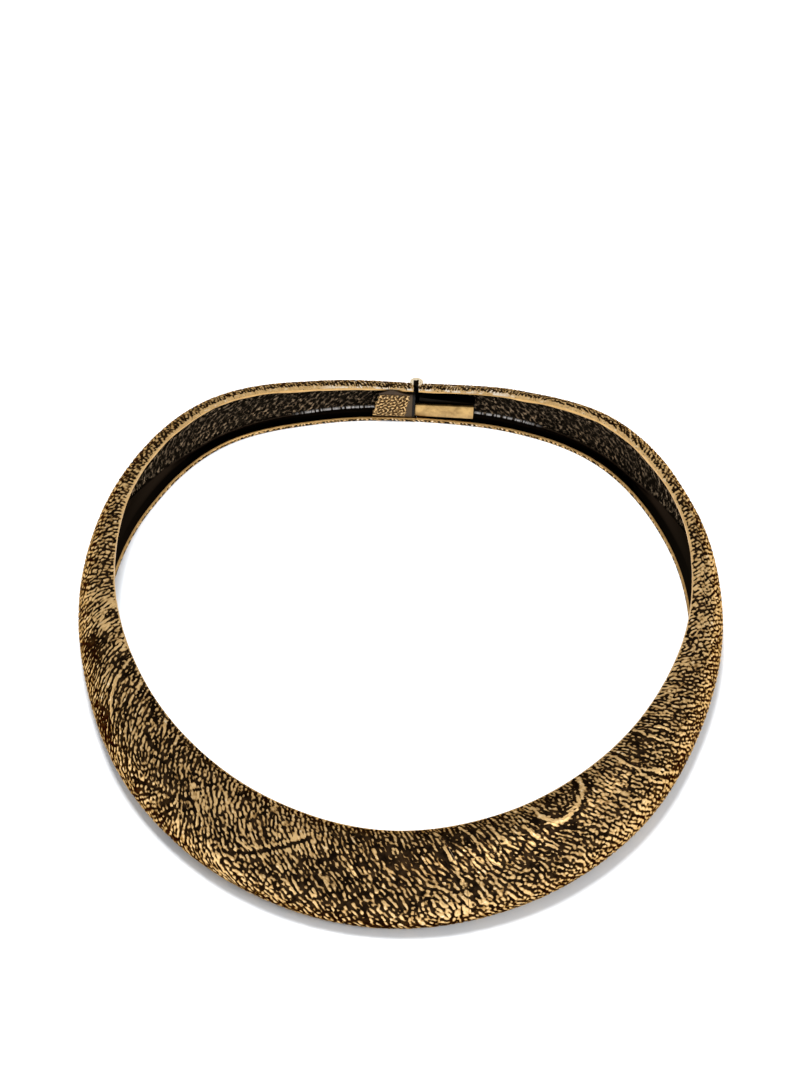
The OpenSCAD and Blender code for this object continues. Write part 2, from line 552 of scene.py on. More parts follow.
    def read(self, name: str, s: Array, v: Array) -> Array:
        """Value of a field of the sheet at places on the band.

        Args:
            name: height or patch.
            s: millimetres along the band from the front.
            v: millimetres down from the top rim.

        Returns:
            The value at each place, blended between the cells.
        """
        sheet = getattr(self, name)
        x = np.clip((s + self.reach) / self.cell, 0, self.nx - self.last_cell)
        y = np.clip(v / self.cell, 0, self.ny - self.last_cell)
        i, j = y.astype(int), x.astype(int)
        fy, fx = y - i, x - j
        top = sheet[i, j] * (1 - fx) + sheet[i, j + 1] * fx
        low = sheet[i + 1, j] * (1 - fx) + sheet[i + 1, j + 1] * fx
        return top * (1 - fy) + low * fy


@dataclass(frozen=True)
class Mark:
    """A ridge or crease drawn through places given as (angle, millimetres down)."""

    path: tuple[tuple[float, float], ...]
    width: float
    gold: float
    lift: float


MARKS = (
    Mark(((-129, 0), (-130, 3)), 0.3, -1.6, -0.1),
    Mark(((-139, 0), (-140, 3)), 0.3, -1.4, -0.1),
    Mark(((-146, 0), (-146, 3)), 0.25, -1.4, -0.1),
    Mark(((-66, 0.5), (-62, 6), (-59, 9.5), (-56, 11.5)), 0.5, 1.4, 0.1),
    Mark(((-60, 0.5), (-56, 6)), 0.45, 1.3, 0.1),
    Mark(((-50, 0.5), (-48, 3)), 0.5, 1.0, 0.05),
    Mark(((-45, 1.5), (-43, 5)), 0.4, 1.1, 0.05),
    Mark(((-50, 6), (-47, 7.5), (-45, 7)), 0.6, -1.4, -0.1),
    Mark(((-27, 17.5), (-21, 14), (-15, 9), (-12, 6)), 0.5, -1.6, -0.15),
    Mark(((-28, 11.5), (-21, 13)), 0.35, 1.0, 0.1),
    Mark(((-46, 16.5), (-38, 12.5), (-33, 10)), 0.45, -1.3, -0.1),
    Mark(((-5, 10), (-4, 11.5)), 0.5, 1.2, 0.25),
    Mark(((-3, 10), (-1.5, 11.5)), 0.5, 1.2, 0.25),
    Mark(((-1, 15.5), (0.5, 13.5)), 0.5, 1.4, 0.3),
    Mark(((-2.5, 17), (-1, 16.5)), 0.5, 1.0, 0.2),
    Mark(((-1.5, 6), (2, 11.5)), 0.3, 1.0, 0.05),
    Mark(((10.5, 6), (12, 10.5), (13, 15), (13, 22)), 0.5, 1.3, 0.1),
    Mark(((14, 9), (14.5, 15), (14.5, 22.5)), 0.6, -1.0, -0.05),
    Mark(((9.5, 16), (13, 15.5)), 0.35, -1.0, -0.15),
    Mark(((14, 1.5), (17, 7.5)), 0.5, 1.1, 0.1),
    Mark(((15.5, 5), (17.5, 10.5), (19, 12)), 0.45, 1.2, 0.1),
    Mark(((22.5, 5.5), (24, 8)), 0.45, 1.0, 0.05),
    Mark(((25, 6), (27, 9.5), (29, 12.5)), 0.55, 1.3, 0.1),
    Mark(((27.5, 1), (28.5, 5), (30, 7.5), (32.5, 8), (35.5, 6.5), (38.5, 4), (39.5, 1)), 0.75, 1.6, 0.1),
    Mark(((47.5, 0.5), (48.5, 6.5), (52, 10.5), (57, 16.5)), 0.5, 1.4, 0.1),
    Mark(((49, 8), (51, 12.5), (53.5, 15.5)), 0.5, 1.2, 0.1),
    Mark(((55.5, 0.5), (56, 4.5), (59.5, 10.5)), 0.5, 1.3, 0.1),
    Mark(((57.5, 1), (60, 7)), 0.4, 1.0, 0.05),
    Mark(((62.5, 0.5), (63, 5.5)), 0.4, 1.1, 0.05),
)


@dataclass(frozen=True)
class Dent:
    """A broad dent or lump on the band: lift in millimetres, with its reach along and down."""

    angle: float
    down: float
    along: float
    across: float
    lift: float
    gold: float


DENTS = (
    Dent(-179, 0.5, 1.0, 1.0, 0.05, 0.8),
    Dent(-140, 8, 8, 4, -0.25, 0.1),
    Dent(-118, 12, 7, 4, 0.15, 0.1),
    Dent(-82, 4.5, 2.5, 2.5, 0.1, 0.5),
    Dent(-80, 1, 2, 1.5, 0.05, 0.7),
    Dent(-77.5, 1.5, 2, 1.5, -0.1, -0.7),
    Dent(-76, 3.5, 2, 1.5, 0.1, 0.8),
    Dent(-72, 8, 3, 3, -0.2, -0.6),
    Dent(-70, 1, 2.5, 1.5, 0.05, 0.7),
    Dent(-58, 14.5, 4, 3, -0.2, -0.5),
    Dent(-41, 14.5, 6, 2, -0.3, -0.2),
    Dent(-27, 8, 4.5, 2.5, 0.2, 0.15),
    Dent(-19, 16, 5, 2, -0.35, -0.1),
    Dent(-10, 12, 6, 3, -0.3, -0.2),
    Dent(-2.5, 13, 3, 2.5, 0.3, 0.1),
    Dent(-1, 16, 2.5, 1.5, -0.25, -0.3),
    Dent(6, 8, 5, 3, 0.1, -0.2),
    Dent(10.5, 19.5, 3.5, 4, 0.1, 0.7),
    Dent(20.5, 7, 3.5, 3, 0.2, 0.2),
    Dent(31.5, 13, 7, 3, -0.25, -0.1),
    Dent(43, 9, 4, 4, -0.2, -0.1),
    Dent(53, 5, 2.5, 3, -0.15, -0.4),
    Dent(59, 2.5, 3, 2, -0.2, -0.3),
    Dent(68, 2, 2.5, 1.5, 0.05, 0.5),
    Dent(71, 4.5, 3, 2, -0.1, -0.4),
    Dent(74.5, 2.5, 2.5, 2, 0.1, 0.5),
    Dent(84, 4, 4, 3, 0.1, 0.2),
    Dent(118, 10, 6, 5, -0.3, -0.1),
    Dent(150, 7, 9, 4, -0.25, 0.1),
)


@dataclass
class CastFace:
    """The cast face of the band: strokes, marks and dents at any place on it."""

    sheet: StrokeSheet
    relief: float = 0.24
    soft: float = 0.28
    patch_gold: float = 0.07
    border_gold: float = 1.3
    border_edge: float = 2.5
    border_end: float = 1.15
    no_border: float = 0.01
    mark_gold: float = 0.6
    mark_width: float = 0.85
    mark_hollow: float = 0.5
    hollow_at: float = 2.0
    back_from: float = 150.0
    back_squeeze: float = 0.6
    low_from: float = 14.0
    low_stretch: float = 0.8

    def height(self, angle: Array, v: Array) -> Array:
        """Signed height of the strokes: over 0 is worn gold, under 0 is dark hollow.

        Args:
            angle: degrees from the front.
            v: millimetres down from the top rim.

        Returns:
            The height at each place.
        """
        s = angle * PER_DEGREE
        row = np.minimum(v, self.low_from) + self.low_stretch * np.maximum(v - self.low_from, 0)
        along = s + np.sign(s) * self.back_squeeze * np.maximum(np.abs(s) - self.back_from, 0)
        out = self.sheet.read("height", along, row)
        out = out + self.patch_gold * self.sheet.read("patch", s, v)
        out = out + self.sheet.charted(s, "gold")
        for dent in DENTS:
            out = out + dent.gold * self.bell(dent, angle, v)
        for mark in MARKS:
            away = self.distance(mark, angle, v) / mark.width / self.mark_width
            hollow = self.mark_hollow * np.exp(-((away - self.hollow_at) ** 2))
            out = out + self.mark_gold * mark.gold * (np.exp(-(away**2)) - hollow)
        border = np.maximum(self.sheet.charted(s, "border"), self.no_border)
        return out + self.border_gold * np.clip(self.border_edge * (self.border_end - v / border), 0, 1)

    def bell(self, dent: Dent, angle: Array, v: Array) -> Array:
        """A dent's share at each place, from 0 to 1."""
        x = (angle - dent.angle) * PER_DEGREE / dent.along
        return np.exp(-(x**2) - ((v - dent.down) / dent.across) ** 2)

    def distance(self, mark: Mark, angle: Array, v: Array) -> Array:
        """Distance in millimetres from a mark's path.

        Args:
            mark: the mark.
            angle: degrees from the front.
            v: millimetres down from the top rim.

        Returns:
            The distance at each place.
        """
        near = np.full(np.shape(angle), np.inf)
        for start, end in zip(mark.path, mark.path[1:]):
            bx, by = (end[0] - start[0]) * PER_DEGREE, end[1] - start[1]
            px, py = (angle - start[0]) * PER_DEGREE, v - start[1]
            f = np.clip((px * bx + py * by) / (bx * bx + by * by), 0, 1)
            near = np.minimum(near, np.hypot(px - f * bx, py - f * by))
        return near

    def lift(self, angle: Array, v: Array, height: Array) -> Array:
        """How far the face stands off the bare form in millimetres, mostly inwards.

        Args:
            angle: degrees from the front.
            v: millimetres down from the top rim.
            height: height of the strokes at each place.

        Returns:
            The lift at each place.
        """
        out = self.relief * (1 / (1 + np.exp(-height / self.soft)) - 1)
        for dent in DENTS:
            out = out + dent.lift * self.bell(dent, angle, v)
        for mark in MARKS:
            out = out + mark.lift * np.exp(-((self.distance(mark, angle, v) / mark.width) ** 2))
        return out


# Meshes


def stitch(first: Sequence[int], second: Sequence[int], turned: bool) -> list[tuple[int, int, int]]:
    """Triangles that join two open rows of vertices with different counts.

    Args:
        first: vertex numbers of one row.
        second: vertex numbers of the other, in the same direction.
        turned: True to face the other way.

    Returns:
        The triangles.
    """
    out, i, j = [], 0, 0
    while i < len(first) - 1 or j < len(second) - 1:
        ahead = (i + 1) / (len(first) - 1) <= (j + 1) / (len(second) - 1)
        if j == len(second) - 1 or (ahead and i < len(first) - 1):
            tri = (first[i], first[i + 1], second[j])
            i += 1
        else:
            tri = (first[i], second[j + 1], second[j])
            j += 1
        out.append(tri[::-1] if turned else tri)
    return out


def add_mesh(name: str, points: Array, faces: Sequence[Sequence[int]]) -> Piece:
    """Makes a mesh object at the origin from points in metres.

    Args:
        name: name of the object.
        points: rows of x, y, z.
        faces: vertex numbers of each face.

    Returns:
        The new object, linked to the scene.
    """
    mesh = bpy.data.meshes.new(name)
    mesh.from_pydata(points.tolist(), [], faces)
    mesh.validate()
    piece = bpy.data.objects.new(name, mesh)
    bpy.context.scene.collection.objects.link(piece)
    return piece


def set_values(piece: Piece, name: str, values: Array) -> None:
    """Stores one number for each vertex under a name that a material reads."""
    layer = piece.data.attributes.new(name, "FLOAT", "POINT")
    layer.data.foreach_set("value", np.asarray(values, np.float32).ravel())


def points_of(piece: Piece) -> Array:
    """The places of a piece's vertices.

    Args:
        piece: the object.

    Returns:
        Rows of x, y, z in metres.
    """
    flat = np.zeros(len(piece.data.vertices) * 3, np.float32)
    piece.data.vertices.foreach_get("co", flat)
    return flat.reshape(-1, 3)


def set_points(piece: Piece, points: Array) -> None:
    """Moves the piece's vertices to rows of x, y, z in metres."""
    piece.data.vertices.foreach_set("co", np.asarray(points, np.float32).ravel())
    piece.data.update()


def select_only(piece: Piece) -> None:
    """Makes one object the selected and active one.

    Args:
        piece: the object.
    """
    bpy.ops.object.select_all(action="DESELECT")
    piece.select_set(True)
    bpy.context.view_layer.objects.active = piece


def apply_modifier(piece: Piece, kind: str, **settings: object) -> None:
    """Adds a modifier to a piece, sets it and applies it.

    Args:
        piece: the object.
        kind: Blender's name of the modifier's type.
        settings: properties of the modifier.
    """
    select_only(piece)
    modifier = piece.modifiers.new(kind.lower(), kind)
    for key, value in settings.items():
        setattr(modifier, key, value)
    bpy.ops.object.modifier_apply(modifier=modifier.name)


def smooth_below(piece: Piece, angle: float) -> None:
    """Smooth shading, apart from edges over an angle in degrees."""
    select_only(piece)
    bpy.ops.object.shade_smooth_by_angle(angle=math.radians(angle))


@dataclass
class Strip:
    """Rows of a half's skin: places outward and up from the top rim's plan, with what the materials read."""

    face: Face
    angle: Array
    out: Array
    up: Array
    height: Array | float = 0.0
    along: Array | float = 0.0
    down: Array | float = 0.0
    depth: Array | float = 0.0

    @property
    def rows(self) -> int:
        """How many rows the strip has."""
        return self.out.shape[1]

    def values(self, name: str) -> Array:
        """One of the read values, for every vertex of the strip."""
        return np.broadcast_to(np.asarray(getattr(self, name), float), self.out.shape)


# Columns of vertices along each half, at about the same step
COLUMNS = {Side.LEFT: 915, Side.RIGHT: 830}

# Angle where the lower rim's inner lip begins on each half
LIP_STARTS = {Side.LEFT: 85.0, Side.RIGHT: 40.0}

# Places outward and up of the lip's dark side and of the bright line on top, from its own edge
LIP_SIDE = np.array([(0.0, 0.0), (-0.1, 0.45), (-0.03, 0.8)])
LIP_TOP = np.array([(0.08, 0.92), (0.4, 0.95)])

# Places outward of the top rim's inner edge at its foot, its middle and its top
RIM_OUT = (-0.05, -0.1, -0.02)


@dataclass
class BandHalf:
    """One half of the band as a closed shell with its cast face, rims, lip and lining."""

    side: Side
    form: BandForm
    face: CastFace
    columns: int
    outer_rows: int = 80
    lining_rows: int = 18
    rim_wall: float = 0.7
    rim_wobble: float = 0.16
    rim_row: float = 9.0
    rim_clip: float = 1.5
    rim_foot_round: float = 0.12
    rim_top_round: float = 0.1
    calm_start: float = 0.35
    calm_top: float = 0.8
    calm_foot: float = 0.9
    lip_reach: float = 0.85
    lip_fade: float = 30.0
    lip_gold: float = 0.1
    lip_row: float = 24.0
    lip_stretch: float = 2.0
    lining_end: float = 0.955
    lining_crowd: float = 0.7
    lining_step: float = 0.22
    step_reach: float = 0.04
    fillet_start: float = 0.93
    fillet_least: float = 0.6
    back_turn: float = 140.0
    back_rise: float = 0.002
    front_turn: float = 130.0
    front_rise: float = 0.012
    middle: float = 0.5
    middle_out: float = 3.0
    samples: int = 160
    smooth_under: float = 50.0

    def even_shares(self, angle: Array, rows: int, end: float, crowd: float) -> tuple[Array, Array]:
        """Shares of the way down that give even steps on the face.

        Args:
            angle: one angle for each column.
            rows: how many rows.
            end: share of the way down where the rows stop.
            crowd: 1 for even steps, less for rows that crowd towards the foot.

        Returns:
            The shares and the lengths down the face, each columns by rows.
        """
        t = np.linspace(0, end, self.samples)
        p = self.form.profile(angle[:, None], t[None, :])
        steps = np.cumsum(np.linalg.norm(np.diff(p, axis=1), axis=-1), 1)
        run = np.concatenate([np.zeros((len(angle), 1)), steps], 1)
        want = np.linspace(0, 1, rows)[None, :] ** crowd * run[:, -1:]
        shares = np.stack([np.interp(w, r, t) for w, r in zip(want, run)])
        return shares, want

    def spread_angles(self, t: Array, out: Array) -> Array:
        """Angle of every vertex of some rows, from the seam to the slit.

        Args:
            t: share of the way down at each row, or at each vertex.
            out: distance outward at the back of each of them.

        Returns:
            Columns by rows of degrees.
        """
        start, end = self.form.ends(self.side, t, out)
        return start + (end - start) * np.linspace(0, 1, self.columns)[:, None]

    def rough_angles(self) -> Array:
        """One angle for each column, for laying out the rows."""
        start, end = self.form.ends(self.side, np.array(self.middle), np.array(self.middle_out))
        return start + (end - start) * np.linspace(0, 1, self.columns)

    def face_rows(self, rows: int, depth: float, end: float, crowd: float = 1.0) -> tuple[Array, ...]:
        """Places on a face at a depth under the outer one.

        Args:
            rows: how many rows.
            depth: millimetres under the outer face.
            end: share of the way down where the rows stop.
            crowd: 1 for even steps, less for rows that crowd towards the foot.

        Returns:
            Angle, share down, length down, out, up and normal, each columns by rows.
        """
        t, v = self.even_shares(self.rough_angles(), rows, end, crowd)
        back = np.full_like(t, 180.0)
        at_back = self.form.profile(back, t) - depth * self.form.profile_normal(back, t)
        angle = self.spread_angles(t, at_back[..., 0])
        normal = self.form.profile_normal(angle, t)
        p = self.form.profile(angle, t) - depth * normal
        return angle, t, v, p[..., 0], p[..., 1], normal

    def outer(self) -> Strip:
        """The cast face, from the top rim to the foot.

        Returns:
            The strip.
        """
        angle, _, v, out, up, normal = self.face_rows(self.outer_rows, 0.0, 1.0)
        height = self.face.height(angle, v)
        lift = self.face.lift(angle, v, height) * self.calm(v)
        out = out + lift * normal[..., 0]
        up = np.maximum(up + lift * normal[..., 1], 0)
        out[:, -1] = self.form.column(angle[:, -1], "spread") + self.form.foot / 2
        up[:, -1] = 0
        return Strip(Face.CAST, angle, out, up, height)

    def calm(self, v: Array) -> Array:
        """Share of the relief that is left near the two rims.

        Args:
            v: length down the face.

        Returns:
            A share from 0 to 1 at each place.
        """
        above_foot = v[:, -1:] - v
        start = np.clip(self.calm_start + v / self.calm_top, 0, 1)
        return start * np.clip(above_foot / self.calm_foot, 0, 1)

    def lining(self) -> Strip:
        """The hollow side of the band, from the lip up to the top rim.

        Returns:
            The strip.
        """
        rows = self.face_rows(self.lining_rows, self.form.wall, self.lining_end, self.lining_crowd)
        angle, t, v, out, up, normal = rows
        depth = t - self.fillet_share(angle)
        lift = self.lining_step * np.clip(depth / self.step_reach + 0.5, 0, 1)
        out = out - lift * normal[..., 0]
        up = up - lift * normal[..., 1]
        up[:, 0] = self.rim_floor(angle[:, 0])
        along = angle * PER_DEGREE * MM
        parts = (k[:, ::-1] for k in (angle, out, up, 0 * t, along, v * MM, depth))
        return Strip(Face.LINING, *parts)

    def fillet_share(self, angle: Array) -> Array:
        """Share of the way down where the lining's smooth fillet begins, which is higher up at the front.

        Args:
            angle: degrees from the front.

        Returns:
            The share at each place.
        """
        turned = np.abs(angle)
        wider = self.back_rise * np.maximum(turned - self.back_turn, 0)
        wider = wider + self.front_rise * np.maximum(self.front_turn - turned, 0)
        return np.clip(self.fillet_start - wider, self.fillet_least, self.fillet_start)

    def rim_floor(self, angle: Array) -> Array:
        """Height of the lower corner of the top rim's inner edge, a little uneven as filed by hand.

        Args:
            angle: degrees from the front.

        Returns:
            The height in millimetres.
        """
        s = angle * PER_DEGREE
        uneven = self.face.sheet.read("patch", s, np.full_like(s, self.rim_row))
        uneven = self.rim_wobble * np.clip(uneven, -self.rim_clip, self.rim_clip)
        return self.form.column(angle, "height") - self.rim_wall + uneven

    def lip(self) -> tuple[Strip, Strip]:
        """The lower rim's inner edge: a dark cast side and a thin bright line on top.

        Returns:
            The dark side and the bright line.
        """
        rough = self.rough_angles()
        reach = self.lip_reach * np.clip((np.abs(rough) - LIP_STARTS[self.side]) / self.lip_fade, 0, 1)
        inner = (self.form.column(rough, "spread") - self.form.foot / 2 - reach)[:, None]
        side = self.foot_strip(Face.CAST, inner + LIP_SIDE[:, 0], LIP_SIDE[:, 1])
        return side, self.foot_strip(Face.RIM, inner + LIP_TOP[:, 0], LIP_TOP[:, 1])

    def foot_strip(self, face: Face, out: Array, up: Array) -> Strip:
        """A strip at the foot, which reads its strokes from the rows under the outer face's own.

        Args:
            face: material place of the strip.
            out: distance outward, columns by rows.
            up: height of each row.

        Returns:
            The strip.
        """
        at_back = np.full_like(out, self.form.sections[-1].spread)
        angle = self.spread_angles(np.ones_like(out), at_back)
        row = self.lip_row + up * self.lip_stretch
        height = self.face.sheet.read("height", angle * PER_DEGREE, row) + self.lip_gold
        return Strip(face, angle, out, up + 0 * out, height)

    def rim(self, lining: Strip) -> Strip:
        """The top rim's inner edge between the lining and the cast face.

        Args:
            lining: the strip that ends at this rim.

        Returns:
            The strip.
        """
        floor = lining.up[:, -1]
        top = self.form.column(self.rough_angles(), "height")
        out = np.tile(RIM_OUT, (self.columns, 1))
        up = np.stack([floor + self.rim_foot_round, (floor + top) / 2, top - self.rim_top_round], 1)
        angle = self.spread_angles(np.zeros_like(out), np.zeros_like(out))
        return Strip(Face.RIM, angle, out, up)

    def build(self) -> Piece:
        """Builds the half's mesh with what its materials read and smooth shading.

        Returns:
            The half, with three material places to fill.
        """
        lining = self.lining()
        strips = [self.outer(), *self.lip(), lining, self.rim(lining)]
        ring = np.concatenate([self.form.place(k.angle, k.out, k.up) for k in strips], 1)
        count = ring.shape[1]
        faces = self.tube(count) + self.caps(strips)
        piece = add_mesh(f"{self.side.name.lower()}_shell_cast", ring.reshape(-1, 3), faces)
        for name in ("height", "along", "down", "depth"):
            set_values(piece, name, np.concatenate([k.values(name) for k in strips], 1))
        self.dress(piece, strips)
        log.info("%s: %d triangles", piece.name, sum(len(f) - 2 for f in faces))
        return piece

    def tube(self, count: int) -> list[tuple[int, int, int, int]]:
        """Quads that run round every ring and along the half.

        Args:
            count: vertices in a ring.

        Returns:
            Vertex numbers of each quad.
        """
        i = np.arange(self.columns - 1)[:, None] * count
        j = np.arange(count)[None, :]
        a, b = i + j, i + (j + 1) % count
        quads = np.stack([a, a + count, b + count, b], -1).reshape(-1, 4)
        return [tuple(q) for q in quads.tolist()]

    def caps(self, strips: list[Strip]) -> list[tuple[int, int, int]]:
        """Triangles that close the two ends between the outer face and the inner rows.

        Args:
            strips: the half's strips, in order round the ring.

        Returns:
            Vertex numbers of each triangle.
        """
        count = sum(k.rows for k in strips)
        faces = []
        for first, turned in ((0, True), ((self.columns - 1) * count, False)):
            outer = range(first, first + self.outer_rows)
            inner = range(first + self.outer_rows, first + count)[::-1]
            faces += stitch(outer, inner, turned)
        return faces

    def dress(self, piece: Piece, strips: list[Strip]) -> None:
        """Gives every face its material place and smooth shading.

        Args:
            piece: the half.
            strips: the half's strips, in order round the ring.
        """
        places = []
        for strip, after in zip(strips, strips[1:] + strips[:1]):
            join = max(strip.face.value, after.face.value)
            places += [strip.face.value] * (strip.rows - 1) + [join]
        kind = np.full(len(piece.data.polygons), Face.RIM.value, np.int32)
        kind[: (self.columns - 1) * len(places)] = np.tile(places, self.columns - 1)
        piece.data.polygons.foreach_set("material_index", kind)
        smooth_below(piece, self.smooth_under)


# Shader kit


@dataclass
class Value:
    """A number or socket inside a material, on which plain arithmetic adds Math nodes."""

    kit: "NodeKit"
    socket: Socket

    def math(self, operation: str, *others: object, clamp: bool = False) -> "Value":
        """Adds one Math node that starts with this value.

        Args:
            operation: Blender's name of what the node does.
            others: its other inputs.
            clamp: True to hold the result between 0 and 1.

        Returns:
            The result.
        """
        node = self.kit.tree.nodes.new("ShaderNodeMath")
        node.operation = operation
        node.use_clamp = clamp
        for k, item in enumerate((self, *others)):
            self.kit.feed(node.inputs[k], item)
        return Value(self.kit, node.outputs[0])

    def __add__(self, other: object) -> "Value":
        """Sum."""
        return self.math("ADD", other)

    def __sub__(self, other: object) -> "Value":
        """Difference."""
        return self.math("SUBTRACT", other)

    def __rsub__(self, other: float) -> "Value":
        """Difference from a number."""
        return self.math("MULTIPLY_ADD", -1.0, other)

    def __mul__(self, other: object) -> "Value":
        """Product."""
        return self.math("MULTIPLY", other)

    __radd__ = __add__
    __rmul__ = __mul__

    def clamped(self) -> "Value":
        """This value held between 0 and 1."""
        return self.math("ADD", 0.0, clamp=True)

    def ramp(self, low: float, high: float) -> "Value":
        """Soft step from 0 at low to 1 at high."""
        inputs = {0: self, 1: low, 2: high}
        return self.kit.node("ShaderNodeMapRange", {"interpolation_type": "SMOOTHSTEP"}, inputs)

    def bump_at(self, middle: float, reach: float) -> "Value":
        """A soft hill of 1 at a middle, down to 0 at a reach from it."""
        return 1 - (self - middle).math("ABSOLUTE").ramp(0.0, reach)


class NodeKit:
    """Adds nodes to one material and joins them."""

    def __init__(self, name: str) -> None:
        """Starts an empty material with its output.

        Args:
            name: name of the material.
        """
        self.material = bpy.data.materials.new(name)
        self.material.use_nodes = True
        self.tree = self.material.node_tree
        self.tree.nodes.clear()
        self.output = self.tree.nodes.new("ShaderNodeOutputMaterial")

    def feed(self, socket: Socket, item: object) -> None:
        """Links a value to a socket, or sets the number or colour on it.

        Args:
            socket: the input.
            item: a value, number or colour.
        """
        if isinstance(item, Value):
            self.tree.links.new(item.socket, socket)
        elif isinstance(item, tuple) and len(item) == 3 and socket.type == "RGBA":
            socket.default_value = (*item, 1.0)
        else:
            socket.default_value = item

    def node(
        self, kind: str, settings: dict[str, object], inputs: dict[object, object], output: object = 0
    ) -> Value:
        """Adds any node.

        Args:
            kind: Blender's name of the node type.
            settings: properties that are set first.
            inputs: values or links by socket name or number.
            output: name or number of the output to read.

        Returns:
            The chosen output.
        """
        node = self.tree.nodes.new(kind)
        for key, value in settings.items():
            setattr(node, key, value)
        for key, item in inputs.items():
            self.feed(node.inputs[key], item)
        return Value(self, node.outputs[output])

    def attribute(self, name: str) -> Value:
        """The number stored on the mesh under a name."""
        return self.node("ShaderNodeAttribute", {"attribute_name": name}, {}, "Fac")

    def place(self) -> Value:
        """The piece's own coordinates."""
        return self.node("ShaderNodeTexCoord", {}, {}, "Object")

    def axis(self, name: str) -> Value:
        """One of the piece's own coordinates, X, Y or Z, in metres."""
        return self.node("ShaderNodeSeparateXYZ", {}, {0: self.place()}, name)

    def noise(
        self, size: float, detail: float = 2.0, roughness: float = 0.5, vector: Value | None = None
    ) -> Value:
        """Cloudy noise centred on 0.

        Args:
            size: rough size of a blob in metres.
            detail: how many finer layers.
            roughness: how strong the finer layers are.
            vector: coordinates to read, the piece's own if left out.

        Returns:
            A value from about -0.5 to 0.5.
        """
        place = vector or self.place()
        inputs = {"Vector": place, "Scale": 1 / size, "Detail": detail, "Roughness": roughness}
        return self.node("ShaderNodeTexNoise", {}, inputs, "Fac") - 0.5

    def mix(self, share: Value, first: object, second: object) -> Value:
        """Blend of two colours."""
        settings = {"data_type": "RGBA", "clamp_factor": True}
        return self.node("ShaderNodeMix", settings, {0: share, 6: first, 7: second}, 2)

    def bump(self, height: Value, depth: float, strength: float = 1.0, normal: Value | None = None) -> Value:
        """Normal bent by a height.

        Args:
            height: the value that bends it.
            depth: metres that a height of 1 stands for.
            strength: share of the bend.
            normal: a normal to start from, the surface's own if left out.

        Returns:
            The bent normal.
        """
        inputs: dict[object, object] = {"Height": height, "Distance": depth, "Strength": strength}
        if normal is not None:
            inputs["Normal"] = normal
        return self.node("ShaderNodeBump", {}, inputs, "Normal")

    def finish(self, **sockets: object) -> Material:
        """Adds the surface shader.

        Args:
            sockets: values by socket name, with an underline for each space.

        Returns:
            The finished material.
        """
        shader = self.tree.nodes.new("ShaderNodeBsdfPrincipled")
        for key, item in sockets.items():
            self.feed(shader.inputs[key.replace("_", " ")], item)
        self.tree.links.new(shader.outputs[0], self.output.inputs[0])
        return self.material


# Finishes


@dataclass(frozen=True)
class CastGold:
    """Worn gold strokes over a black-brown patina, with painted highlights: pale spots on the raised
    strokes, and pale glints on the rim at the back where asked.
    """

    name: str = "cast_gold"
    gold: Colour = (0.82, 0.55, 0.25)
    deep_gold: Colour = (0.34, 0.19, 0.065)
    highlight_gold: Colour = (1.0, 0.82, 0.55)
    patina: Colour = (0.008, 0.0045, 0.0025)
    brown: Colour = (0.04, 0.022, 0.01)
    smooth: Colour = (0.62, 0.38, 0.15)
    painted_glint: Colour = (1.0, 0.88, 0.72)
    grazing: Colour = (0.5, 0.4, 0.3)
    back_glints: float = 0.0
    glints_y: tuple[float, float] = (0.058, 0.063)
    glints_x: tuple[float, float] = (0.017, 0.024)
    start: float = 0.0
    edge: float = 0.28
    fine_size: float = 0.00045
    fine_gain: float = 0.4
    roughness: float = 0.44
    bump_depth: float = 0.00012
    grain_depth: float = 0.00004

    def material(self) -> Material:
        """Builds the finish from the heights stored on the mesh.

        Returns:
            The material.
        """
        kit = NodeKit(self.name)
        height = kit.attribute("height") + kit.noise(self.fine_size, 2.0, 0.6) * self.fine_gain
        worn = height.ramp(self.start, self.start + self.edge)
        core = height.ramp(0.0, 0.9) + kit.noise(0.0016, 3.0, 0.6) * 1.3 + kit.noise(0.006, 1.0) * 0.5 - 0.02
        gold = kit.mix(core.clamped(), self.deep_gold, self.gold)
        plain = height.ramp(0.9, 1.5) * (kit.noise(0.002, 3.0) * 2.0 + 0.6).clamped()
        gold = kit.mix(plain, gold, self.smooth)
        # Painted highlights: pale gold spots on the raised strokes stand in for small glints of light.
        painted_highlights = kit.noise(0.0011, 2.0, 0.5).ramp(0.06, 0.26) * height.ramp(0.2, 0.9)
        gold = kit.mix(painted_highlights * 0.8, gold, self.highlight_gold)
        # Painted highlights: pale glints on the smooth border near the middle of the back.
        aside = kit.axis("X").math("ABSOLUTE").ramp(*self.glints_x)
        at_back = kit.axis("Y").ramp(*self.glints_y) * (1 - aside) * self.back_glints
        shine = kit.noise(0.0018, 2.0, 0.6).ramp(-0.1, 0.06) * height.ramp(0.5, 1.0)
        gold = kit.mix(shine * at_back, gold, self.painted_glint)
        dark = kit.mix(kit.noise(0.002, 2.0).ramp(-0.12, 0.25), self.patina, self.brown)
        bump = kit.bump(height.math("MINIMUM", 0.7).math("MAXIMUM", -0.6), self.bump_depth)
        grain = kit.bump(kit.noise(0.0003, 2.0), self.grain_depth, 0.6, bump)
        return kit.finish(
            Base_Color=kit.mix(worn, dark, gold),
            Metallic=1.0,
            Specular_Tint=self.grazing,
            Roughness=self.roughness - worn * 0.06 + kit.noise(0.0015) * 0.15,
            Normal=grain,
        )


